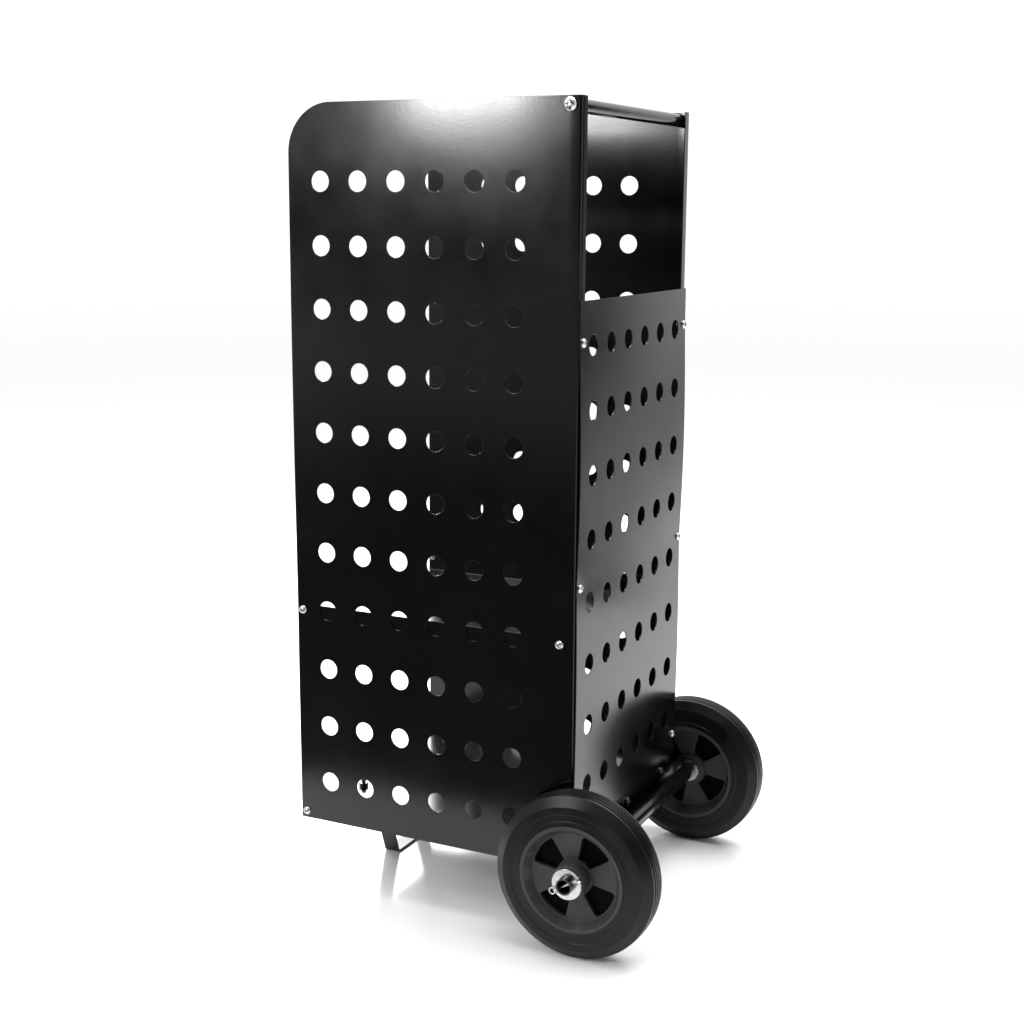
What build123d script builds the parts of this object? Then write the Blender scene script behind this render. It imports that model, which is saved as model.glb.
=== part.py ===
from build123d import *
import os
from math import cos, radians, sin, tan

# Two-wheeled upright cart of perforated sheet steel, open at the front and the top.
# Millimetres. +Z is up, the open front faces -Y, the wheels and the handle are at +Y.
# The origin is on the floor, under the middle of the cart's overall length and width.
# Right and left are +X and -X.

# ---------------------------------------------------------------- body sizes
body_width = 342.0          # over the outer faces of the two side panels
panel_depth = 381.0         # front edge to the back of the rear flange
panel_height = 895.0
panel_sheet = 1.5
flange_width = 15.0         # rear flange of a side panel, folded inwards
fold_radius = 1.5           # inside radius of every fold
corner_radius = 58.0        # rounded top front corner of a side panel

hole_diameter = 24.6        # round perforations of the three panels
hole_columns = 6
side_hole_rows = 11
back_hole_rows = 8
first_column_inset = 44.2   # from the front edge
last_column_inset = 80.3    # from the back of the rear flange
first_row_drop = 91.0       # from the top edge of a side panel
last_row_rise = 54.0        # from its bottom edge

back_sheet = 1.5
back_top_drop = 221.5       # from the top of the side panels to the top of the back panel
back_first_row_drop = 51.0
back_column_inset = 37.75   # from each side edge

# -------------------------------------------------------------- wheels, axle
wheel_diameter = 200.0
tyre_width = 43.0
tyre_chamfer_height = 12.0
tyre_chamfer_width = 8.5
tread_crown = 0.8
tread_groove_width = 2.2
tread_groove_depth = 1.6
tread_grooves = 4
rim_diameter = 130.0
rim_edge = 1.25             # of the rim beyond the tyre at each face
rim_lip = 4.0               # thickness of the rim's barrel at its two faces
rim_rib_height = 3.0        # rib that keys the tyre to the rim
rim_rib_width = 10.0
rim_depth = 11.0            # from the outside of the rim to the edge of the webs
web_thickness = 6.0         # of each of the hub's two spoked webs
web_depth = 10.5            # from the rim's outer face to the outer web
disc_thickness = 6.0        # of the black disc between the webs
boss_diameter = 42.0
boss_inner_rise = 2.5       # inwards of the inner web
boss_outer_rise = 8.0       # beyond the rim's outer face
window_count = 4
window_angle = 46.0
window_first_angle = 56.0
window_margin = 1.5         # between a window and the boss or the barrel
window_corner = 3.0
wheel_side_gap = 2.5        # between the side panel and the rim
boss_end_play = 0.4

axle_diameter = 20.0
axle_wall = 2.0
axle_standoff = 18.0        # axle centre behind the back panel's outer face
axle_end_overhang = 8.0     # beyond the outer washer
panel_drop = 12.0           # from the axle's centre down to the bottom of the side panels
washer_diameter = 37.0
washer_thickness = 3.0
collar_bearing = 0.9        # of the stop beyond the hub's bore, all round
collar_width = 6.0
slip_clearance = 0.05       # radial, between the axle and what is slid on it
pin_diameter = 3.6
pin_overhang = 7.0          # beyond the axle at each side
pin_eye_diameter = 9.0
pin_angle = 30.8
pin_prong_length = 6.0

roller_diameter = 4.0
roller_count = 10
cage_inset = 2.5            # from each end of the boss
cage_end = 4.0
cage_bore_clearance = 0.4

# ------------------------------------------------------------- loose fittings
tray_sheet = 1.5
tray_flange = 28.5
tray_setback = 0.5          # behind the front edge of the side panels
tray_rear_gap = 12.0        # from the back of the side panels' flanges
tray_screw_edge = 7.0       # from the flange's free edge
tray_screw_end = 7.5        # from the front and rear edges of the tray
middle_tray_height = 255.75     # its plate, above the panels' bottom edge
bottom_flange_height = 2.25     # bottom tray's flanges, above the panels' bottom edge

handle_diameter = 16.0
handle_wall = 1.5
handle_from_back = 14.5
handle_from_top = 9.75
plug_length = 20.0

back_screw_edge = 7.5       # from the side of the back panel
back_first_screw_drop = 46.5    # below the back panel's top edge
back_middle_screw_drop = 328.5
back_last_screw_rise = 63.75    # above its bottom edge

carrier_sheet = 2.0
carrier_end_gap = 6.0       # from the edges of the side panels' flanges
carrier_height = 38.0
carrier_leg_gap = 1.0       # the floor leg stops this far short of the axle's centre
carrier_bolt_rise = 27.5    # above the carrier's underside
carrier_bolt_inset = 30.0   # of the outer bolts, from the carrier's ends
weld_sink = 0.5             # of the axle into the carrier's floor leg

foot_strap = 3.0
foot_width = 21.0
foot_setback = 57.0         # its middle, behind the front edge
foot_base_length = 81.0
foot_leg_angle = 20.0
foot_lug = 46.0
foot_bolt_inset = 30.0      # from the top of the leg
foot_fold_radius = 2.0

screw_clearance = 0.3       # radial, round a screw in sheet metal
thread_clearance = 0.05     # radial, between a screw and its nut or plug
edge_gap = 0.5
m5 = dict(shank=5.0, head=10.4, rise=3.7, across_flats=8.0, nut=4.0, recess=2.6)
m6 = dict(shank=6.0, head=12.0, rise=4.4, across_flats=10.0, nut=5.0, recess=3.0)
m8 = dict(shank=8.0, head=16.0, rise=5.6, across_flats=13.0, nut=6.5, recess=3.8)

# ------------------------------------------------------------- derived places
wheel_radius = wheel_diameter / 2
axle_radius = axle_diameter / 2
overall_depth = panel_depth + back_sheet + axle_standoff + wheel_radius
half_width = body_width / 2
inner_x = half_width - panel_sheet

front_y = -overall_depth / 2
flange_y = front_y + panel_depth
back_outer_y = flange_y + back_sheet
axle_y = back_outer_y + axle_standoff
axle_z = wheel_radius

column_pitch = (panel_depth - first_column_inset - last_column_inset) / (hole_columns - 1)
row_pitch = (panel_height - first_row_drop - last_row_rise) / (side_hole_rows - 1)
back_column_pitch = (body_width - 2 * back_column_inset) / (hole_columns - 1)

carrier_half_length = half_width - flange_width - carrier_end_gap
carrier_bottom_z = axle_z - axle_radius + weld_sink - carrier_sheet
bottom_z = axle_z - panel_drop
top_z = bottom_z + panel_height
back_top_z = top_z - back_top_drop
back_bottom_z = carrier_bottom_z + carrier_sheet + fold_radius + edge_gap

bottom_tray_edge_z = bottom_z + bottom_flange_height
bottom_plate_z = bottom_tray_edge_z + tray_flange
middle_plate_z = bottom_z + middle_tray_height
middle_tray_edge_z = middle_plate_z + tray_flange
tray_front_y = front_y + tray_setback
tray_depth = panel_depth - tray_setback - tray_rear_gap
foot_y = front_y + foot_setback
foot_top_z = bottom_plate_z - tray_sheet
foot_top_half = foot_base_length / 2 + (foot_top_z - foot_strap) * tan(radians(foot_leg_angle))

handle_y = flange_y - handle_from_back
handle_z = top_z - handle_from_top

# Along the wheel's axle, measured outwards from the side panel's outer face.
rim_start = wheel_side_gap
rim_end = rim_start + tyre_width + 2 * rim_edge
web_end = rim_end - web_depth
disc_end = web_end - web_thickness
disc_start = disc_end - disc_thickness
web_start = disc_start - web_thickness
boss_start = web_start - boss_inner_rise
boss_end = rim_end + boss_outer_rise
cage_length = boss_end - boss_start - 2 * cage_inset
roller_length = cage_length - 2 * cage_end
washer_outer_face = boss_end + boss_end_play + washer_thickness
axle_half_length = half_width + washer_outer_face + axle_end_overhang
hub_bore_radius = axle_radius + 2 * slip_clearance + roller_diameter


# ------------------------------------------------------------------- helpers
os.makedirs("parts", exist_ok=True)


def save(name, *solids):
    shape = solids[0] if len(solids) == 1 else Compound(children=list(solids))
    export_step(shape, f"parts/{name}.step")


def left_of(shape):
    """The same piece on the cart's other side."""
    return shape.mirror(Plane.YZ)


def folded(points, thickness, side, length, plane):
    """Sheet folded along the outline of its outer face, centred on the plane."""
    outline = FilletPolyline(*points, radius=fold_radius + thickness)
    profile = make_face(offset(outline, amount=thickness, side=side))
    return extrude(plane * profile, amount=length / 2, both=True)


def drill(shape, places, radius, rotation):
    """Holes right through, at each place."""
    reach = 4 * max(radius, panel_sheet + tray_sheet + foot_strap)
    return shape - [Pos(*place) * Rot(*rotation) * Cylinder(radius, reach) for place in places]


along_x = (0, 90, 0)
along_y = (-90, 0, 0)
along_z = (0, 0, 0)


def pan_head_screw(size, length):
    """Cross-recessed pan head, its underside at the origin and its shank down -Z."""
    shank, head, rise = size["shank"] / 2, size["head"] / 2, size["rise"]
    rim, point = rise * 0.35, shank * 0.2
    outline = Polyline(
        (0, rise), (0, -length), (shank - point, -length), (shank, -length + point), (shank, 0), (head, 0),
        (head, rim))
    dome = ThreePointArc((head, rim), (head * 0.68, rise * 0.86), (0, rise))
    body = revolve(Plane.XZ * make_face([outline, dome]), Axis.Z)
    slot = Box(size["recess"] * 2, size["recess"] * 0.42, rise, align=(Align.CENTER, Align.CENTER, Align.MIN))
    recess = Pos(0, 0, rise * 0.42) * (slot + Rot(0, 0, 90) * slot)
    return body - recess


def hex_nut(size):
    """Chamfered hexagon nut, its bearing face at the origin and its body up +Z."""
    corner = size["across_flats"] / 2 / cos(radians(30))
    blank = extrude(RegularPolygon(corner, 6), size["nut"])
    edge = corner - size["across_flats"] / 2
    round_blank = Pos(0, 0, size["nut"] / 2) * Cylinder(corner, size["nut"])
    nut = blank & chamfer(round_blank.edges().filter_by(GeomType.CIRCLE), edge * 0.55, edge)
    return nut - Cylinder(size["shank"] / 2 + thread_clearance, 3 * size["nut"])


# --------------------------------------------------------------- side panels
def hole_grid(columns, column_gap, rows, row_gap):
    """Centres across and down from the first hole."""
    return [(c * column_gap, -r * row_gap) for r in range(rows) for c in range(columns)]


tray_screw_ys = (tray_front_y + tray_screw_end, tray_front_y + tray_depth - tray_screw_end)
tray_screw_zs = (bottom_tray_edge_z + tray_screw_edge, middle_tray_edge_z - tray_screw_edge)
tray_screw_yz = [(y, z) for y in tray_screw_ys for z in tray_screw_zs]
back_screw_x = half_width - back_screw_edge
back_screw_zs = (
    back_top_z - back_first_screw_drop, back_top_z - back_middle_screw_drop, back_bottom_z + back_last_screw_rise)

side_outline = ((half_width, front_y), (half_width, flange_y), (half_width - flange_width, flange_y))
side_panel = Pos(0, 0, bottom_z + panel_height / 2) * folded(
    side_outline, panel_sheet, Side.LEFT, panel_height, Plane.XY)
corner_block = Pos(inner_x + panel_sheet / 2, front_y + corner_radius / 2, top_z - corner_radius / 2) * Box(
    2 * panel_sheet, corner_radius, corner_radius)
corner_round = Pos(inner_x + panel_sheet / 2, front_y + corner_radius, top_z - corner_radius) * Rot(
    *along_x) * Cylinder(corner_radius, 3 * panel_sheet)
side_panel -= corner_block - corner_round

first_hole = Pos(0, front_y + first_column_inset, top_z - first_row_drop)
side_holes = [
    first_hole * Pos(inner_x, y, z) * Rot(*along_x) * Cylinder(hole_diameter / 2, 4 * panel_sheet)
    for y, z in hole_grid(hole_columns, column_pitch, side_hole_rows, row_pitch)]
side_panel -= side_holes
side_panel = drill(side_panel, [(inner_x, y, z) for y, z in tray_screw_yz],
                   m5["shank"] / 2 + screw_clearance, along_x)
side_panel = drill(side_panel, [(inner_x, handle_y, handle_z)], m8["shank"] / 2 + screw_clearance, along_x)
side_panel = drill(side_panel, [(back_screw_x, flange_y, z) for z in back_screw_zs],
                   m5["shank"] / 2 + screw_clearance, along_y)
save("side_panel_right", side_panel)
save("side_panel_left", left_of(side_panel))

# ---------------------------------------------------------------- back panel
back_height = back_top_z - back_bottom_z
back_panel = Pos(0, flange_y + back_sheet / 2, back_bottom_z + back_height / 2) * Box(
    body_width, back_sheet, back_height)
grid_half_width = (hole_columns - 1) * back_column_pitch / 2
first_back_hole = Pos(-grid_half_width, back_outer_y, back_top_z - back_first_row_drop)
back_panel -= [
    first_back_hole * Pos(x, 0, z) * Rot(*along_y) * Cylinder(hole_diameter / 2, 4 * back_sheet)
    for x, z in hole_grid(hole_columns, back_column_pitch, back_hole_rows, row_pitch)]
back_screw_xz = [(x, z) for x in (-back_screw_x, back_screw_x) for z in back_screw_zs]
back_panel = drill(back_panel, [(x, flange_y, z) for x, z in back_screw_xz],
                   m5["shank"] / 2 + screw_clearance, along_y)
carrier_bolt_z = carrier_bottom_z + carrier_bolt_rise
carrier_bolt_x = carrier_half_length - carrier_bolt_inset
carrier_bolt_xs = (-carrier_bolt_x, 0, carrier_bolt_x)
carrier_bolt_places = [(x, flange_y, carrier_bolt_z) for x in carrier_bolt_xs]
carrier_bolt_hole = m6["shank"] / 2 + screw_clearance
back_panel = drill(back_panel, carrier_bolt_places, carrier_bolt_hole, along_y)
save("back_panel", back_panel)


# --------------------------------------------------------------------- trays
def tray(plate_z, edge_z):
    """Shelf plate with a flange folded towards edge_z against each side panel."""
    side = Side.LEFT if edge_z > plate_z else Side.RIGHT
    outline = ((-inner_x, edge_z), (-inner_x, plate_z), (inner_x, plate_z), (inner_x, edge_z))
    sheet = Pos(0, tray_front_y + tray_depth / 2, 0) * folded(outline, tray_sheet, side, tray_depth, Plane.XZ)
    screw_z = edge_z + (tray_screw_edge if edge_z < plate_z else -tray_screw_edge)
    places = [(sign * inner_x, y, screw_z) for sign in (-1, 1) for y in tray_screw_ys]
    return drill(sheet, places, m5["shank"] / 2 + screw_clearance, along_x)


foot_bolt_x = foot_top_half + foot_bolt_inset
foot_bolt_places = [(sign * foot_bolt_x, foot_y, foot_top_z) for sign in (-1, 1)]
foot_bolt_hole = m6["shank"] / 2 + screw_clearance
save("middle_shelf", tray(middle_plate_z, middle_tray_edge_z))
save("bottom_shelf", drill(tray(bottom_plate_z, bottom_tray_edge_z), foot_bolt_places, foot_bolt_hole, along_z))

# -------------------------------------------------------------------- handle
handle_length = 2 * inner_x
handle_bore = handle_diameter / 2 - handle_wall
handle_at = Pos(0, handle_y, handle_z) * Rot(*along_x)
save("handle_tube", handle_at * (Cylinder(handle_diameter / 2, handle_length) - Cylinder(handle_bore, handle_length)))
plug = Cylinder(handle_bore, plug_length) - Cylinder(m8["shank"] / 2 + thread_clearance, plug_length)
plug_right = Pos(inner_x - plug_length / 2, handle_y, handle_z) * Rot(*along_x) * plug
save("handle_plugs", plug_right, left_of(plug_right))
handle_screw = Pos(half_width, handle_y, handle_z) * Rot(*along_x) * pan_head_screw(
    m8, panel_sheet + plug_length - 2)
save("handle_screws", handle_screw, left_of(handle_screw))

# ------------------------------------------------- screws and nuts of the body
shelf_screw = pan_head_screw(m5, panel_sheet + tray_sheet + m5["nut"] + 1.5)
shelf_nut = hex_nut(m5)
right_screws = [Pos(half_width, y, z) * Rot(*along_x) * shelf_screw for y, z in tray_screw_yz]
right_nuts = [Pos(inner_x - tray_sheet, y, z) * Rot(0, -90, 0) * shelf_nut for y, z in tray_screw_yz]
save("shelf_screws", *right_screws, *[left_of(s) for s in right_screws])
save("shelf_nuts", *right_nuts, *[left_of(n) for n in right_nuts])

back_screw = pan_head_screw(m5, back_sheet + panel_sheet + m5["nut"] + 1.5)
save("back_panel_screws", *[Pos(x, back_outer_y, z) * Rot(*along_y) * back_screw for x, z in back_screw_xz])
save("back_panel_nuts", *[
    Pos(x, flange_y - panel_sheet, z) * Rot(90, 0, 0) * hex_nut(m5) for x, z in back_screw_xz])

# ---------------------------------------------------------------- front foot
foot_half = foot_base_length / 2
lug_end = foot_top_half + foot_lug
foot_right = [(0, 0), (foot_half, 0), (foot_top_half, foot_top_z - foot_strap), (lug_end, foot_top_z - foot_strap)]
foot_left = [(-x, z) for x, z in reversed(foot_right[1:])]
foot_line = FilletPolyline(*foot_left, *foot_right[1:], radius=foot_fold_radius + foot_strap)
foot_profile = make_face(offset(foot_line, amount=foot_strap, side=Side.LEFT))
front_foot = Pos(0, foot_y, 0) * extrude(Plane.XZ * foot_profile, amount=foot_width / 2, both=True)
save("front_foot", drill(front_foot, foot_bolt_places, foot_bolt_hole, along_z))
foot_bolt = pan_head_screw(m6, foot_strap + tray_sheet + m6["nut"] + 5)
foot_bolts = [Pos(x, foot_y, foot_top_z - foot_strap) * Rot(180, 0, 0) * foot_bolt for x, _, _ in foot_bolt_places]
save("foot_bolts", *foot_bolts)
save("foot_nuts", *[Pos(x, foot_y, bottom_plate_z) * hex_nut(m6) for x, _, _ in foot_bolt_places])

# ----------------------------------------------------- axle and its carrier
carrier_back_y = axle_y - carrier_leg_gap
carrier_front_y = flange_y - carrier_sheet
carrier_outline = (
    (carrier_front_y, carrier_bottom_z + carrier_height),
    (carrier_front_y, carrier_bottom_z),
    (carrier_back_y, carrier_bottom_z))
axle_at = Pos(0, axle_y, axle_z) * Rot(*along_x)
axle_carrier = folded(carrier_outline, carrier_sheet, Side.LEFT, 2 * carrier_half_length, Plane.YZ)
axle_carrier = drill(axle_carrier, carrier_bolt_places, carrier_bolt_hole, along_y)
axle_carrier -= axle_at * Cylinder(axle_radius, 3 * carrier_half_length)
save("axle_carrier", axle_carrier)
carrier_bolt = pan_head_screw(m6, back_sheet + carrier_sheet + m6["nut"] + 1.5)
save("carrier_bolts", *[Pos(x, back_outer_y, carrier_bolt_z) * Rot(*along_y) * carrier_bolt for x in carrier_bolt_xs])
save("carrier_nuts", *[
    Pos(x, carrier_front_y, carrier_bolt_z) * Rot(90, 0, 0) * hex_nut(m6) for x in carrier_bolt_xs])

pin_x = half_width + washer_outer_face + pin_diameter / 2
pin_turn = Rot(pin_angle, 0, 0)
pin_hole_radius = pin_diameter / 2 + slip_clearance
pin_hole_right = Pos(pin_x, axle_y, axle_z) * pin_turn * Rot(*along_y) * Cylinder(pin_hole_radius, 2 * axle_diameter)
axle_tube = axle_at * (
    Cylinder(axle_radius, 2 * axle_half_length) - Cylinder(axle_radius - axle_wall, 2 * axle_half_length))
save("axle_tube", axle_tube - pin_hole_right - left_of(pin_hole_right))


def ring(outer, inner, width, start):
    """Ring on the right-hand end of the axle, from start outwards of the side panel."""
    at = Pos(half_width + start + width / 2, axle_y, axle_z) * Rot(*along_x)
    return at * (Cylinder(outer, width) - Cylinder(inner, width))


washer = ring(washer_diameter / 2, axle_radius + slip_clearance, washer_thickness, boss_end + boss_end_play)
save("axle_washers", washer, left_of(washer))
collar = ring(hub_bore_radius + collar_bearing, axle_radius, collar_width, boss_start - boss_end_play - collar_width)
save("axle_collars", collar, left_of(collar))


def split_pin():
    """Cotter along +Z: an eye below, the shank through the axle, two spread prongs above."""
    wire = pin_diameter / 2
    pin_length = axle_diameter + 2 * pin_overhang
    shank = Cylinder(wire, pin_length)
    eye_ring = pin_eye_diameter / 2 - wire / 2
    eye = Pos(0, 0, -pin_length / 2 - eye_ring + wire / 2) * Rot(*along_x) * Torus(eye_ring, wire / 2)
    prong = Cylinder(wire * 0.55, pin_prong_length, align=(Align.CENTER, Align.CENTER, Align.MIN))
    prongs = [Pos(0, side * wire * 0.4, pin_length / 2 - wire) * Rot(-side * 24, 0, 0) * prong for side in (-1, 1)]
    return shank + eye + prongs


pin_right = Pos(pin_x, axle_y, axle_z) * pin_turn * Rot(*along_y) * split_pin()
save("split_pins", pin_right, left_of(pin_right))

# -------------------------------------------------------------------- wheels
# A wheel is drawn about Z, with z measured outwards from the side panel's outer face.
wheel_at = Pos(half_width, axle_y, axle_z) * Rot(*along_x)
rim_radius = rim_diameter / 2
rim_middle = (rim_start + rim_end) / 2
rib_start = rim_middle - rim_rib_width / 2
rib_end = rim_middle + rim_rib_width / 2
rib_radius = rim_radius + rim_rib_height
web_radius = rim_radius - rim_depth
boss_radius = boss_diameter / 2
tyre_start = rim_middle - tyre_width / 2
tyre_end = rim_middle + tyre_width / 2


def wheel_window(angle):
    """Wedge-shaped opening between two spokes."""
    inner = boss_radius + window_margin
    outer = web_radius - window_margin
    half = radians(window_angle / 2)
    arc_in, arc_out = [
        ThreePointArc((r * cos(half), -r * sin(half)), (r, 0), (r * cos(half), r * sin(half)))
        for r in (inner, outer)]
    wedge = make_face([arc_in, Line(arc_in @ 1, arc_out @ 1), arc_out, Line(arc_out @ 0, arc_in @ 0)])
    wedge = fillet(wedge.vertices(), window_corner)
    return Rot(0, 0, angle) * Pos(0, 0, web_start - 1) * extrude(wedge, web_end - web_start + 2)


def hub_disc():
    """Black disc moulded in between the hub's two webs, which closes their windows."""
    width = disc_end - disc_start
    middle = Pos(0, 0, (disc_start + disc_end) / 2)
    return middle * (Cylinder(web_radius, width) - Cylinder(boss_radius, width))


def wheel_hub():
    """Moulded rim, boss and two webs in one piece, with windows between the webs' spokes."""
    lip_radius = rim_radius - rim_lip
    outline = Polyline(
        (hub_bore_radius, boss_start), (boss_radius, boss_start), (boss_radius, web_start),
        (web_radius, web_start), (lip_radius, rim_start), (rim_radius, rim_start), (rim_radius, rib_start),
        (rib_radius, rib_start), (rib_radius, rib_end), (rim_radius, rib_end), (rim_radius, rim_end),
        (lip_radius, rim_end), (web_radius, web_end), (boss_radius, web_end), (boss_radius, boss_end),
        (hub_bore_radius, boss_end), close=True)
    body = revolve(Plane.XZ * make_face(outline), Axis.Z) - hub_disc()
    # Angles run from +Y towards +Z on the cart; in the drawing +Y lies a quarter turn round.
    turns = [90 + window_first_angle + i * 360 / window_count for i in range(window_count)]
    return body - [wheel_window(turn) for turn in turns]


def tyre():
    """Solid rubber tyre with chamfered shoulders and grooved tread, keyed over the rim's rib."""
    shoulder = wheel_radius - tyre_chamfer_height
    edge = wheel_radius - tread_crown
    tread_start = tyre_start + tyre_chamfer_width
    tread_end = tyre_end - tyre_chamfer_width
    left_side = Polyline(
        (rim_radius, rib_end), (rim_radius, tyre_end), (shoulder, tyre_end), (edge, tread_end))
    crown = ThreePointArc((edge, tread_end), (wheel_radius, rim_middle), (edge, tread_start))
    right_side = Polyline(
        (edge, tread_start), (shoulder, tyre_start), (rim_radius, tyre_start), (rim_radius, rib_start),
        (rib_radius, rib_start), (rib_radius, rib_end), (rim_radius, rib_end))
    body = revolve(Plane.XZ * make_face([left_side, crown, right_side]), Axis.Z)
    pitch = (tread_end - tread_start) / (tread_grooves + 1)
    floor_radius = edge - tread_groove_depth
    groove = Cylinder(wheel_radius + 1, tread_groove_width) - Cylinder(floor_radius, tread_groove_width)
    return body - [Pos(0, 0, tread_start + pitch * (i + 1)) * groove for i in range(tread_grooves)]


def roller_circle(piece):
    circle = axle_radius + slip_clearance + roller_diameter / 2
    return [Rot(0, 0, i * 360 / roller_count) * Pos(circle, 0, 0) * piece for i in range(roller_count)]


bearing_at = Pos(0, 0, (boss_start + boss_end) / 2)
rollers = [bearing_at * r for r in roller_circle(Cylinder(roller_diameter / 2, roller_length))]
cage_body = Cylinder(hub_bore_radius, cage_length) - Cylinder(axle_radius + cage_bore_clearance, cage_length)
cage_waist = Cylinder(hub_bore_radius, roller_length) - Cylinder(hub_bore_radius - roller_diameter / 4, roller_length)
cage = bearing_at * (cage_body - cage_waist - roller_circle(Cylinder(roller_diameter / 2, roller_length)))

hub_right = wheel_at * wheel_hub()
tyre_right = wheel_at * tyre()
cage_right = wheel_at * cage
rollers_right = [wheel_at * r for r in rollers]
save("wheel_hub_right", hub_right)
save("wheel_hub_left", left_of(hub_right))
disc_right = wheel_at * hub_disc()
save("hub_disc_right", disc_right)
save("hub_disc_left", left_of(disc_right))
save("tyre_right", tyre_right)
save("tyre_left", left_of(tyre_right))
save("bearing_cage_right", cage_right)
save("bearing_cage_left", left_of(cage_right))
save("bearing_rollers_right", *rollers_right)
save("bearing_rollers_left", *[left_of(r) for r in rollers_right])
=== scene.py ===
from math import cos, hypot, pi, radians, sin

import bmesh
import bpy
from mathutils import Matrix, Vector


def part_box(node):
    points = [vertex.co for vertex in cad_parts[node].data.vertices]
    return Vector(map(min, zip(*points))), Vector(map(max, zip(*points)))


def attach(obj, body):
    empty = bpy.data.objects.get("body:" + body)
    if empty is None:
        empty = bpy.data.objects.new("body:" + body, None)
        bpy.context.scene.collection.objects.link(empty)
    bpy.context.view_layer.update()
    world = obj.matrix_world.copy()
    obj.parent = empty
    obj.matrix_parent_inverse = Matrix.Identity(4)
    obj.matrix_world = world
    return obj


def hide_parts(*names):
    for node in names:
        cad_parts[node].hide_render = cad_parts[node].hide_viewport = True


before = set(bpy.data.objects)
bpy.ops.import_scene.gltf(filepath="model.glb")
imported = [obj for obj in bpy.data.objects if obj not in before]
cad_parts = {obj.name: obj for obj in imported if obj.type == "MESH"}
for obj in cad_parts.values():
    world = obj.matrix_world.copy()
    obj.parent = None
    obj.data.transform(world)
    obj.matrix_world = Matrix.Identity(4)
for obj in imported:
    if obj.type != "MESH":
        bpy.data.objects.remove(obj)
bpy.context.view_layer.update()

# ---------------------------------------------------------------- side panels
# Each side is one blank of 1.5 mm steel, punched with eleven rows of six round holes, its top front
# corner cut round and its rear edge folded in to a narrow flange. The sheet is powder coated black
# and stands a little out of true between the screws that hold it.
sheet = 0.0015
hole_diameter = 0.0246
row_pitch = 0.075
squares_per_cell = 12       # grid squares along each side of the cell round a hole

side_low, side_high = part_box("side_panel_right")
side_column_pitch = 0.0513
side_columns = 6
side_rows = 11
first_column_inset = 0.0442
first_row_drop = 0.091
corner_radius = 0.058
fold_radius = 0.003
flange_width = 0.015


def add_node(tree, kind, inputs=None, **settings):
    """A node of a tree, with its settings made and its inputs given a value or another node's output."""
    node = tree.nodes.new(kind)
    for setting, value in settings.items():
        setattr(node, setting, value)
    for socket, value in (inputs or {}).items():
        if isinstance(value, bpy.types.NodeSocket):
            tree.links.new(value, node.inputs[socket])
        else:
            node.inputs[socket].default_value = value
    return node


def work_out(tree, operation, *values):
    """The output of one sum on numbers or sockets."""
    return add_node(tree, "ShaderNodeMath", dict(enumerate(values)), operation=operation).outputs[0]


def new_tree(name, sizes, made):
    """An empty geometry tree with named inputs for its sizes, and its group input and output."""
    tree = bpy.data.node_groups.new(name, "GeometryNodeTree")
    tree.interface.new_socket("Start", in_out="INPUT", socket_type="NodeSocketGeometry")
    for label, kind in sizes.items():
        tree.interface.new_socket(label, in_out="INPUT", socket_type="NodeSocket" + kind)
    tree.interface.new_socket(made, in_out="OUTPUT", socket_type="NodeSocketGeometry")
    return tree, tree.nodes.new("NodeGroupInput").outputs, tree.nodes.new("NodeGroupOutput").inputs


def finish_tree(tree, geometry, finish, output):
    """Every tree ends by making its instances real and giving them their finish."""
    real = add_node(tree, "GeometryNodeRealizeInstances", {"Geometry": geometry}).outputs[0]
    coated = add_node(tree, "GeometryNodeSetMaterial", {"Geometry": real, "Material": finish})
    tree.links.new(coated.outputs[0], output)


def run_tree(name, mesh, tree, values):
    """An object whose mesh is what the tree makes of the given one, with the modifier gone."""
    obj = bpy.data.objects.new(name, mesh)
    bpy.context.scene.collection.objects.link(obj)
    modifier = obj.modifiers.new(tree.name, "NODES")
    modifier.node_group = tree
    sockets = {s.name: s.identifier for s in tree.interface.items_tree if s.in_out == "INPUT"}
    for label, value in values.items():
        modifier[sockets[label]] = value
    graph = bpy.context.evaluated_depsgraph_get()
    made = bpy.data.meshes.new_from_object(obj.evaluated_get(graph))
    obj.modifiers.clear()
    obj.data = made
    obj.data.name = name
    return obj


def smooth(mesh, sharp_angle):
    """Smooth shading, with edges past the angle kept crisp."""
    mesh.shade_smooth()
    mesh.set_sharp_from_angle(angle=radians(sharp_angle))


def rounded_edges(obj, width, angle=40):
    """The small radius that punching, moulding and paint leave on every edge."""
    bevel = obj.modifiers.new("Rounded edges", "BEVEL")
    bevel.width = width
    bevel.segments = 2
    bevel.angle_limit = radians(angle)
    bevel.harden_normals = True


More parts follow.
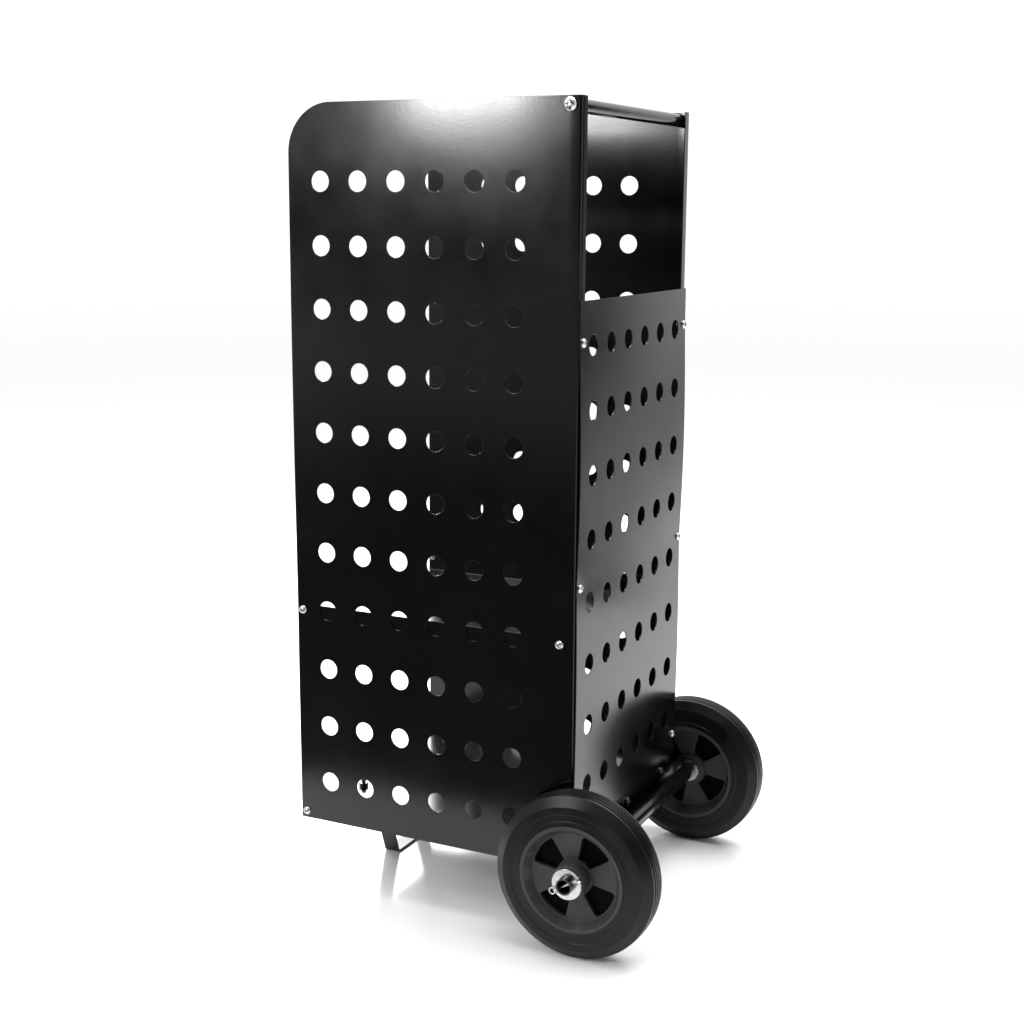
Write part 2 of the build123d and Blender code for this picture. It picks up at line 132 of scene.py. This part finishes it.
def perforating_tree():
    """Drops a ring of each cell's grid points onto the rim of its hole and cuts out what is inside."""
    sizes = {"Hole diameter": "Float", "First hole across": "Float", "First hole up": "Float",
             "Column pitch": "Float", "Row pitch": "Float", "Columns": "Int", "Rows": "Int", "Finish": "Material"}
    tree, given, result = new_tree("Perforate", sizes, "Sheet")
    position = tree.nodes.new("GeometryNodeInputPosition").outputs[0]
    place = add_node(tree, "ShaderNodeSeparateXYZ", {0: position}).outputs

    def in_cell(along, first, pitch, count):
        """The nearest hole's centre along one direction, and the place in its cell from -1 to 1."""
        steps = work_out(tree, "DIVIDE", work_out(tree, "SUBTRACT", along, first), pitch)
        last = work_out(tree, "SUBTRACT", count, 1.0)
        nearest = work_out(tree, "MINIMUM", work_out(tree, "MAXIMUM", work_out(tree, "ROUND", steps), 0.0), last)
        centre = work_out(tree, "MULTIPLY_ADD", nearest, pitch, first)
        return centre, work_out(tree, "MULTIPLY", work_out(tree, "SUBTRACT", steps, nearest), 2.0)

    centre_across, across = in_cell(place[0], given["First hole across"], given["Column pitch"], given["Columns"])
    centre_up, up = in_cell(place[2], given["First hole up"], given["Row pitch"], given["Rows"])
    reach = work_out(tree, "MAXIMUM", work_out(tree, "ABSOLUTE", across), work_out(tree, "ABSOLUTE", up))
    rim_share = 2 / 3
    inside = work_out(tree, "LESS_THAN", reach, rim_share - 0.01)
    punched = add_node(tree, "GeometryNodeDeleteGeometry", {"Geometry": given["Start"], "Selection": inside})

    direction = add_node(tree, "ShaderNodeCombineXYZ", {"X": across, "Z": up}).outputs[0]
    direction = add_node(tree, "ShaderNodeVectorMath", {0: direction}, operation="NORMALIZE").outputs[0]
    radius = work_out(tree, "MULTIPLY", given["Hole diameter"], 0.5)
    centre = add_node(tree, "ShaderNodeCombineXYZ", {"X": centre_across, "Z": centre_up}).outputs[0]
    rim = add_node(tree, "ShaderNodeVectorMath", {0: direction, 1: radius, 2: centre}, operation="MULTIPLY_ADD")
    out_of_rim = work_out(tree, "DIVIDE", work_out(tree, "SUBTRACT", reach, rim_share), 1 - rim_share)
    moved = add_node(
        tree, "ShaderNodeMix", {"Factor": out_of_rim, 4: rim.outputs[0], 5: position}, data_type="VECTOR")
    in_field = work_out(tree, "LESS_THAN", reach, 1.001)
    rounded = add_node(tree, "GeometryNodeSetPosition", {
        "Geometry": punched.outputs[0], "Selection": in_field, "Position": moved.outputs[1]})
    finish_tree(tree, rounded.outputs[0], given["Finish"], result["Sheet"])
    return tree


def lattice_lines(start, *stretches):
    """Places of a blank's grid lines. Each stretch is its end and the number of squares up to it."""
    lines = [start]
    for end, squares in stretches:
        first = lines[-1]
        lines += [first + (end - first) * (i + 1) / squares for i in range(squares)]
    return lines


def blank(name, across, up):
    """A flat sheet in the XZ plane, facing -Y, made of grid squares."""
    mesh = bpy.data.meshes.new(name)
    wide = len(across)
    squares = [
        (i + j * wide, i + 1 + j * wide, i + 1 + (j + 1) * wide, i + (j + 1) * wide)
        for j in range(len(up) - 1) for i in range(wide - 1)]
    mesh.from_pydata([(a, 0, u) for u in up for a in across], [], squares)
    return mesh


def powder_coat(name, roughness, specular, waviness):
    """Black powder coat: orange peel, faint handling haze, and the sheet's own waviness under it."""
    finish = bpy.data.materials.new(name)
    finish.use_nodes = True
    tree = finish.node_tree
    shader = tree.nodes["Principled BSDF"]
    shader.inputs["Specular IOR Level"].default_value = specular
    coords = tree.nodes.new("ShaderNodeTexCoord").outputs["Object"]
    haze = add_node(tree, "ShaderNodeTexNoise", {"Vector": coords, "Scale": 9.0, "Detail": 8.0, "Roughness": 0.62})
    speck = add_node(tree, "ShaderNodeTexNoise", {"Vector": coords, "Scale": 900.0, "Detail": 2.0})
    shade = add_node(tree, "ShaderNodeValToRGB", {"Fac": haze.outputs["Fac"]})
    shade.color_ramp.elements[0].position = 0.35
    shade.color_ramp.elements[0].color = (0.0009, 0.0009, 0.0010, 1)
    shade.color_ramp.elements[1].position = 0.75
    shade.color_ramp.elements[1].color = (0.0022, 0.0021, 0.0022, 1)
    tree.links.new(shade.outputs[0], shader.inputs["Base Color"])
    gloss = add_node(tree, "ShaderNodeMapRange", {
        "Value": haze.outputs["Fac"], "From Min": 0.3, "From Max": 0.75,
        "To Min": roughness * 0.85, "To Max": roughness * 1.25})
    tree.links.new(gloss.outputs[0], shader.inputs["Roughness"])
    peel = add_node(tree, "ShaderNodeTexNoise", {"Vector": coords, "Scale": 330.0, "Detail": 1.5})
    wave = add_node(tree, "ShaderNodeTexNoise", {"Vector": coords, "Scale": 2.6, "Detail": 0.0})
    bent = add_node(tree, "ShaderNodeBump", {
        "Strength": 1.0, "Distance": waviness, "Height": wave.outputs["Fac"]})
    textured = add_node(tree, "ShaderNodeBump", {
        "Strength": 0.45, "Distance": 0.00005, "Height": peel.outputs["Fac"], "Normal": bent.outputs[0]})
    grained = add_node(tree, "ShaderNodeBump", {
        "Strength": 0.3, "Distance": 0.00001, "Height": speck.outputs["Fac"], "Normal": textured.outputs[0]})
    tree.links.new(grained.outputs[0], shader.inputs["Normal"])
    return finish


panel_finish = powder_coat("Black powder coat", 0.17, 0.5, 0.0025)
perforate = perforating_tree()

side_depth = side_high.y - side_low.y
side_flat = side_depth - fold_radius
side_fold_length = fold_radius * pi / 2
side_blank_depth = side_flat + side_fold_length + flange_width - fold_radius
side_last_row_z = side_high.z - first_row_drop - (side_rows - 1) * row_pitch
field_front = first_column_inset - side_column_pitch / 2
field_rear = field_front + side_columns * side_column_pitch
field_bottom = side_last_row_z - row_pitch / 2
field_top = field_bottom + side_rows * row_pitch
tray_screw_edge = 0.007     # from the free edge of a tray's flange
middle_screw_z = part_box("middle_shelf")[1].z - tray_screw_edge
upper_bow = 0.0016          # of a side above its middle screws
lower_bow = 0.0006


def side_bow(depth, height):
    """How far the side stands out: nothing at the screws and the fold, most at the free front edge."""
    span = (height - middle_screw_z) / (side_high.z - middle_screw_z)
    upper = sin(pi * min(max(span, 0.0), 1.0)) * upper_bow
    lower_span = (height - side_low.z) / (middle_screw_z - side_low.z)
    lower = sin(pi * min(max(lower_span, 0.0), 1.0)) * lower_bow
    toward_front = 1 - depth / side_depth
    return (upper + lower) * min(1.0, toward_front * 1.4)


def cut_round(depth, height):
    """Draws the blank's square top front corner in to an arc, keeping its grid's rings as arcs."""
    in_depth = corner_radius - depth
    in_height = corner_radius - (side_high.z - height)
    if in_depth <= 0 or in_height <= 0:
        return depth, height
    pull = max(in_depth, in_height) / hypot(in_depth, in_height)
    return corner_radius - in_depth * pull, side_high.z - corner_radius + in_height * pull


def fold_side(depth, height):
    """Where a point of the right-hand blank's outer face comes to lie once it is cut and folded."""
    depth, height = cut_round(depth, height)
    if depth <= side_flat:
        return Vector((side_high.x + side_bow(depth, height), side_low.y + depth, height))
    turn = min((depth - side_flat) / fold_radius, pi / 2)
    past = max(depth - side_flat - side_fold_length, 0.0)
    x = side_high.x - fold_radius + fold_radius * cos(turn) - past
    return Vector((x, side_low.y + side_flat + fold_radius * sin(turn), height))


for hand, side in (("right", 1), ("left", -1)):
    side_blank = blank(
        "side blank",
        lattice_lines(0.0, (field_front, 3), (field_rear, side_columns * squares_per_cell), (side_flat, 4),
                      (side_flat + side_fold_length, 6), (side_blank_depth, 3)),
        lattice_lines(side_low.z, (field_bottom, 3), (field_top, side_rows * squares_per_cell), (side_high.z, 10)))
    panel = run_tree("perforated_side_" + hand, side_blank, perforate, {
        "Hole diameter": hole_diameter, "First hole across": first_column_inset, "First hole up": side_last_row_z,
        "Column pitch": side_column_pitch, "Row pitch": row_pitch, "Columns": side_columns, "Rows": side_rows,
        "Finish": panel_finish})
    for point in panel.data.vertices:
        folded = fold_side(point.co.x, point.co.z)
        point.co = (folded.x * side, folded.y, folded.z)
    if side < 0:
        panel.data.flip_normals()
    smooth(panel.data, 40)
    wall = panel.modifiers.new("Sheet thickness", "SOLIDIFY")
    wall.thickness = sheet
    wall.offset = -1
    rounded_edges(panel, 0.0003)
    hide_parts("side_panel_" + hand)
    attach(panel, "cart_frame")

# ----------------------------------------------------------------- back panel
# The back is a plain flat sheet of the same steel with eight rows of six holes, screwed to the side
# flanges from behind. Between its screws the edges spring away from the flanges by a few millimetres.
back_low, back_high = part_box("back_panel")
back_column_pitch = 0.0533
back_columns = 6
back_rows = 8
back_first_row_drop = 0.051
back_stand_off = 0.0028     # the most that an edge of the back springs away between its screws
back_screw_heights = [back_high.z - drop for drop in (0.0465, 0.3285, 0.60525)]
back_wide = back_high.x - back_low.x
back_first_column = (back_wide - (back_columns - 1) * back_column_pitch) / 2
back_last_row_z = back_high.z - back_first_row_drop - (back_rows - 1) * row_pitch
back_field_start = back_first_column - back_column_pitch / 2
back_field_bottom = back_last_row_z - row_pitch / 2


def back_spring(across, height):
    """How far the back stands off the flanges: waves along both edges, pinned at the screws."""
    upper, middle, lower = back_screw_heights
    if height > middle:
        along = sin(pi * (height - middle) / (upper - middle)) if height < upper else 0.0
    else:
        along = sin(pi * (height - lower) / (middle - lower)) * 0.5 if height > lower else 0.0
    edge = abs(2 * across / back_wide - 1)
    return back_stand_off * max(along, 0.0) * (0.35 + 0.65 * edge ** 2)


back_blank = blank(
    "back blank",
    lattice_lines(0.0, (back_field_start, 2), (back_wide - back_field_start, back_columns * squares_per_cell),
                  (back_wide, 2)),
    lattice_lines(back_low.z, (back_field_bottom, 5),
                  (back_field_bottom + back_rows * row_pitch, back_rows * squares_per_cell), (back_high.z, 3)))
back = run_tree("perforated_back", back_blank, perforate, {
    "Hole diameter": hole_diameter, "First hole across": back_first_column, "First hole up": back_last_row_z,
    "Column pitch": back_column_pitch, "Row pitch": row_pitch, "Columns": back_columns, "Rows": back_rows,
    "Finish": panel_finish})
for point in back.data.vertices:
    across, height = point.co.x, point.co.z
    point.co = (back_high.x - across, back_high.y + back_spring(across, height), height)
smooth(back.data, 40)
back_wall = back.modifiers.new("Sheet thickness", "SOLIDIFY")
back_wall.thickness = sheet
back_wall.offset = -1
rounded_edges(back, 0.0003)
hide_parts("back_panel")
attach(back, "cart_frame")


# --------------------------------------------------------------------- trays
# Two trays of folded sheet tie the sides together. The middle one turns its flanges up, and the
# bottom one is the same tray the other way up. Both are powder coated like the panels.
def softened(node, name, width, finish, body):
    """A CAD piece with its triangles merged to faces and every hard edge given its small radius."""
    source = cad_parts[node]
    mesh = source.data.copy()
    mesh.name = name
    faces = bmesh.new()
    faces.from_mesh(mesh)
    bmesh.ops.remove_doubles(faces, verts=faces.verts, dist=1e-6)
    bmesh.ops.dissolve_limit(faces, angle_limit=radians(1.5), verts=faces.verts, edges=faces.edges)
    faces.to_mesh(mesh)
    faces.free()
    mesh.materials.clear()
    mesh.materials.append(finish)
    smooth(mesh, 30)
    piece = bpy.data.objects.new(name, mesh)
    bpy.context.scene.collection.objects.link(piece)
    rounded_edges(piece, width, 30)
    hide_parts(node)
    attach(piece, body)
    return piece


softened("middle_shelf", "middle_tray", 0.0003, panel_finish, "cart_frame")
softened("bottom_shelf", "bottom_tray", 0.0003, panel_finish, "cart_frame")

# --------------------------------------------------- foot and axle carrier
# The foot is a strap bent to a flat-bottomed trough with two lugs. The axle's carrier is an angle of
# thicker sheet held inside the back by three black pan heads. All are black and a little duller.
bracket_finish = powder_coat("Black powder coat on brackets", 0.3, 0.5, 0.001)
softened("front_foot", "strap_foot", 0.0005, bracket_finish, "cart_frame")
softened("axle_carrier", "axle_angle", 0.0005, bracket_finish, "cart_frame")
softened("carrier_bolts", "carrier_screws", 0.0002, bracket_finish, "cart_frame")


# ------------------------------------------------------------ handle and axle
# The push handle and the axle are lengths of drawn tube in gloss black paint, which flows smooth.
def gloss_paint():
    finish = bpy.data.materials.new("Gloss black paint")
    finish.use_nodes = True
    tree = finish.node_tree
    shader = tree.nodes["Principled BSDF"]
    shader.inputs["Base Color"].default_value = (0.004, 0.0038, 0.004, 1)
    shader.inputs["Specular IOR Level"].default_value = 0.55
    coords = tree.nodes.new("ShaderNodeTexCoord").outputs["Object"]
    marks = add_node(tree, "ShaderNodeTexNoise", {"Vector": coords, "Scale": 45.0, "Detail": 6.0})
    gloss = add_node(tree, "ShaderNodeMapRange", {
        "Value": marks.outputs["Fac"], "From Min": 0.35, "From Max": 0.75, "To Min": 0.09, "To Max": 0.2})
    tree.links.new(gloss.outputs[0], shader.inputs["Roughness"])
    flow = add_node(tree, "ShaderNodeTexNoise", {"Vector": coords, "Scale": 190.0, "Detail": 1.0})
    skin = add_node(tree, "ShaderNodeBump", {
        "Strength": 0.4, "Distance": 0.00005, "Height": flow.outputs["Fac"]})
    tree.links.new(skin.outputs[0], shader.inputs["Normal"])
    return finish


tube_finish = gloss_paint()
for node, name in (("handle_tube", "push_handle"), ("axle_tube", "wheel_axle")):
    softened(node, name, 0.0003, tube_finish, "cart_frame")


# ------------------------------------------------------- screws, nuts, washers
# The body is held by zinc-plated pan-head screws with cross recesses and plain hexagon nuts. Bright
# washers, stops and split pins keep the wheels on the axle.
def zinc_plate():
    finish = bpy.data.materials.new("Bright zinc plate")
    finish.use_nodes = True
    tree = finish.node_tree
    shader = tree.nodes["Principled BSDF"]
    shader.inputs["Metallic"].default_value = 1.0
    coords = tree.nodes.new("ShaderNodeTexCoord").outputs["Object"]
    cloud = add_node(tree, "ShaderNodeTexNoise", {"Vector": coords, "Scale": 110.0, "Detail": 4.0})
    tone = add_node(tree, "ShaderNodeValToRGB", {"Fac": cloud.outputs["Fac"]})
    tone.color_ramp.elements[0].position = 0.3
    tone.color_ramp.elements[0].color = (0.52, 0.53, 0.55, 1)
    tone.color_ramp.elements[1].position = 0.7
    tone.color_ramp.elements[1].color = (0.72, 0.73, 0.76, 1)
    tree.links.new(tone.outputs[0], shader.inputs["Base Color"])
    gloss = add_node(tree, "ShaderNodeMapRange", {
        "Value": cloud.outputs["Fac"], "From Min": 0.3, "From Max": 0.7, "To Min": 0.2, "To Max": 0.36})
    tree.links.new(gloss.outputs[0], shader.inputs["Roughness"])
    grain = add_node(tree, "ShaderNodeBump", {
        "Strength": 0.15, "Distance": 0.00002, "Height": cloud.outputs["Fac"]})
    tree.links.new(grain.outputs[0], shader.inputs["Normal"])
    return finish


zinc_finish = zinc_plate()
for node, name in (
        ("handle_plugs", "handle_end_plugs"), ("handle_screws", "handle_end_screws"),
        ("shelf_screws", "tray_screws"), ("shelf_nuts", "tray_nuts"),
        ("back_panel_screws", "back_screws"), ("back_panel_nuts", "back_nuts"),
        ("foot_bolts", "foot_screws"), ("foot_nuts", "foot_hex_nuts"),
        ("carrier_nuts", "carrier_hex_nuts"),
        ("axle_washers", "axle_plain_washers"), ("axle_collars", "axle_stops"),
        ("split_pins", "axle_split_pins")):
    softened(node, name, 0.0002, zinc_finish, "cart_frame")


# -------------------------------------------------------------------- wheels
# Each wheel is a grey moulded hub with two spoked webs, a black disc between them that closes the four
# windows, and a solid black rubber tyre turned with four grooves in its tread and steps on its sides.
def hub_plastic():
    finish = bpy.data.materials.new("Moulded grey plastic")
    finish.use_nodes = True
    tree = finish.node_tree
    shader = tree.nodes["Principled BSDF"]
    shader.inputs["Specular IOR Level"].default_value = 0.4
    coords = tree.nodes.new("ShaderNodeTexCoord").outputs["Object"]
    swirl = add_node(tree, "ShaderNodeTexNoise", {"Vector": coords, "Scale": 14.0, "Detail": 6.0})
    tone = add_node(tree, "ShaderNodeValToRGB", {"Fac": swirl.outputs["Fac"]})
    tone.color_ramp.elements[0].position = 0.3
    tone.color_ramp.elements[0].color = (0.026, 0.027, 0.024, 1)
    tone.color_ramp.elements[1].position = 0.7
    tone.color_ramp.elements[1].color = (0.042, 0.043, 0.038, 1)
    tree.links.new(tone.outputs[0], shader.inputs["Base Color"])
    shader.inputs["Roughness"].default_value = 0.48
    grain = add_node(tree, "ShaderNodeTexNoise", {"Vector": coords, "Scale": 1400.0, "Detail": 2.0})
    skin = add_node(tree, "ShaderNodeBump", {
        "Strength": 0.4, "Distance": 0.00004, "Height": grain.outputs["Fac"]})
    tree.links.new(skin.outputs[0], shader.inputs["Normal"])
    return finish


def tyre_rubber():
    """Black rubber with a faint bloom and a fine moulded grain."""
    finish = bpy.data.materials.new("Solid black rubber")
    finish.use_nodes = True
    tree = finish.node_tree
    shader = tree.nodes["Principled BSDF"]
    shader.inputs["Specular IOR Level"].default_value = 0.24
    coords = tree.nodes.new("ShaderNodeTexCoord").outputs["Object"]
    bloom = add_node(tree, "ShaderNodeTexNoise", {"Vector": coords, "Scale": 22.0, "Detail": 7.0})
    tone = add_node(tree, "ShaderNodeValToRGB", {"Fac": bloom.outputs["Fac"]})
    tone.color_ramp.elements[0].position = 0.3
    tone.color_ramp.elements[0].color = (0.0026, 0.0027, 0.0032, 1)
    tone.color_ramp.elements[1].position = 0.75
    tone.color_ramp.elements[1].color = (0.0062, 0.0064, 0.0074, 1)
    tree.links.new(tone.outputs[0], shader.inputs["Base Color"])
    gloss = add_node(tree, "ShaderNodeMapRange", {
        "Value": bloom.outputs["Fac"], "From Min": 0.3, "From Max": 0.7, "To Min": 0.26, "To Max": 0.4})
    tree.links.new(gloss.outputs[0], shader.inputs["Roughness"])
    grain = add_node(tree, "ShaderNodeTexNoise", {"Vector": coords, "Scale": 1800.0, "Detail": 2.0})
    skin = add_node(tree, "ShaderNodeBump", {
        "Strength": 0.4, "Distance": 0.00004, "Height": grain.outputs["Fac"]})
    tree.links.new(skin.outputs[0], shader.inputs["Normal"])
    return finish


def tyre_profile(half_width, radius):
    """Half of a tyre's section, as places out from its middle and from the axle, bore first."""
    rim_radius, rib_radius, rib_half = 0.065, 0.068, 0.005
    bead_radius, band_radius, shoulder_radius = 0.0705, 0.0785, radius - 0.012
    step, step_run, band_set_in = 0.0007, 0.0006, 0.0002
    tread_half, tread_crown = half_width - 0.0085, 0.0008
    groove_half, groove_depth = 0.0011, 0.0016
    groove_pitch = tread_half * 2 / 5

    def tread(along):
        return along, radius - tread_crown * (along / tread_half) ** 2

    section = [
        (rib_half, rib_radius), (rib_half, rim_radius), (half_width, rim_radius), (half_width, bead_radius),
        (half_width - step, bead_radius + step_run), (half_width - step, band_radius),
        (half_width - band_set_in, band_radius + step_run), (half_width - band_set_in, shoulder_radius),
        tread(tread_half)]
    for middle in (groove_pitch * 1.5, groove_pitch * 0.5):
        outer, inner = middle + groove_half, middle - groove_half
        floor_radius = radius - tread_crown - groove_depth
        section += [tread(outer), (outer, floor_radius), (inner, floor_radius), tread(inner)]
    return section


def turned(name, half_section, centre, finish, facets=180):
    """A ring turned about the axle from half its section and the same half mirrored."""
    section = half_section + [(-along, radius) for along, radius in reversed(half_section)]
    count = len(section)
    points = [
        (centre.x + along, centre.y + radius * cos(turn), centre.z + radius * sin(turn))
        for turn in (2 * pi * i / facets for i in range(facets)) for along, radius in section]
    sides = [
        (i * count + j, i * count + (j + 1) % count,
         (i + 1) % facets * count + (j + 1) % count, (i + 1) % facets * count + j)
        for i in range(facets) for j in range(count)]
    mesh = bpy.data.meshes.new(name)
    mesh.from_pydata(points, [], sides)
    faces = bmesh.new()
    faces.from_mesh(mesh)
    bmesh.ops.recalc_face_normals(faces, faces=faces.faces)
    faces.to_mesh(mesh)
    faces.free()
    mesh.materials.append(finish)
    smooth(mesh, 25)
    ring = bpy.data.objects.new(name, mesh)
    bpy.context.scene.collection.objects.link(ring)
    return ring


hub_finish = hub_plastic()
tyre_finish = tyre_rubber()
disc_finish = powder_coat("Black moulded disc", 0.5, 0.04, 0.0)
for hand in ("right", "left"):
    body = "wheel_" + hand
    softened("wheel_hub_" + hand, "spoked_hub_" + hand, 0.0008, hub_finish, body)
    softened("hub_disc_" + hand, "window_disc_" + hand, 0.0003, disc_finish, body)
    tyre_low, tyre_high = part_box("tyre_" + hand)
    tyre = turned(
        "solid_tyre_" + hand,
        tyre_profile((tyre_high.x - tyre_low.x) / 2, (tyre_high.z - tyre_low.z) / 2),
        (tyre_low + tyre_high) / 2, tyre_finish)
    rounded_edges(tyre, 0.0003, 25)
    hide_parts("tyre_" + hand)
    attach(tyre, body)
    softened("bearing_cage_" + hand, "roller_cage_" + hand, 0.0002, hub_finish, body)
    softened("bearing_rollers_" + hand, "rollers_" + hand, 0.0002, zinc_finish, body)

# ------------------------------------------------------------ floor and studio
# The cart stands on a broad pale glossy floor under large soft lights, with a white room behind it.
# Two black cloths that only reflections see shape the shine of its side and back.
floor_mesh = blank("floor", [-12.0, 12.0], [-12.0, 12.0])
floor_mesh.transform(Matrix.Rotation(radians(-90), 4, "X"))
floor = bpy.data.objects.new("studio_floor", floor_mesh)
bpy.context.scene.collection.objects.link(floor)
floor_finish = bpy.data.materials.new("Pale gloss floor")
floor_finish.use_nodes = True
floor_shader = floor_finish.node_tree.nodes["Principled BSDF"]
floor_shader.inputs["Base Color"].default_value = (0.86, 0.875, 0.865, 1)
floor_shader.inputs["Roughness"].default_value = 0.12
floor_mesh.materials.append(floor_finish)


def softbox(name, place, aim, wide, high, watts, spread=180):
    """A rectangular area light facing its aim."""
    light = bpy.data.lights.new(name, "AREA")
    light.shape = "RECTANGLE"
    light.size = wide
    light.size_y = high
    light.energy = watts
    light.spread = radians(spread)
    lamp = bpy.data.objects.new(name, light)
    bpy.context.scene.collection.objects.link(lamp)
    lamp.location = place
    lamp.rotation_euler = (Vector(aim) - Vector(place)).to_track_quat("-Z", "Y").to_euler()
    lamp.visible_camera = False
    return lamp


softbox("Overhead softbox", (-0.7, 0.3, 3.4), (-0.2, 0, 0), 3.2, 3.2, 195)
softbox("High softbox to the right", (1.7, -1.3, 2.3), (0.17, 0, 0.9), 1.3, 1.1, 24)
softbox("Strip beside the right-hand side", (1.95, -0.94, 1.33), (0.17, 0.0, 1.02), 0.30, 0.46, 21)
softbox("Tall light beyond the front edge", (1.9, -1.85, 0.75), (0.17, -0.2, 0.6), 0.3, 1.3, 4)
softbox("Low fill from the front", (-1.6, -1.8, 1.0), (0.0, 0.0, 0.0), 1.6, 1.0, 45)

# Black cloths beyond the camera's reach keep the room's glare off the right-hand side and the back.
cloth_finish = bpy.data.materials.new("Dark cloth")
cloth_finish.use_nodes = True
cloth_finish.node_tree.nodes["Principled BSDF"].inputs["Base Color"].default_value = (0.01, 0.01, 0.01, 1)
cloth_finish.node_tree.nodes["Principled BSDF"].inputs["Roughness"].default_value = 1.0


def dark_cloth(name, across, up, turn, place):
    """A black card that only reflections see."""
    mesh = blank(name, across, up)
    mesh.transform(Matrix.Translation(place) @ turn)
    mesh.materials.append(cloth_finish)
    cloth = bpy.data.objects.new(name, mesh)
    bpy.context.scene.collection.objects.link(cloth)
    cloth.visible_camera = False
    cloth.visible_diffuse = False
    cloth.visible_shadow = False


dark_cloth("cloth_on_the_floor", [0.48, 4.0], [-0.5, 4.0], Matrix.Rotation(radians(90), 4, "X"), (0, 0, 0.002))
dark_cloth("cloth_behind_the_left", [0.66, 2.5], [0.02, 1.6], Matrix.Rotation(radians(90), 4, "Z"), (-1.3, 0, 0))

world = bpy.data.worlds.new("White room")
bpy.context.scene.world = world
world.use_nodes = True
room = world.node_tree
toward = add_node(room, "ShaderNodeSeparateXYZ", {0: room.nodes.new("ShaderNodeTexCoord").outputs["Generated"]})
shade = add_node(room, "ShaderNodeMapRange", {
    "Value": toward.outputs["X"], "From Min": -0.2, "From Max": 0.7, "To Min": 1.15, "To Max": 0.05})
seen = work_out(room, "MAXIMUM", shade.outputs[0], room.nodes.new("ShaderNodeLightPath").outputs["Is Camera Ray"])
room.links.new(seen, room.nodes["Background"].inputs["Strength"])
room.nodes["Background"].inputs["Color"].default_value = (1, 1, 1, 1)

camera_data = bpy.data.cameras.new("Camera")
camera_data.lens = 54.26
camera_data.sensor_width = 36
camera_data.clip_end = 60
camera = bpy.data.objects.new("Camera", camera_data)
bpy.context.scene.collection.objects.link(camera)
camera.location = (1.7484, 0.8176, 0.8628)
camera.rotation_euler = (radians(78.846), radians(-0.348), radians(116.046))
bpy.context.scene.camera = camera
bpy.context.scene.view_settings.view_transform = "Standard"
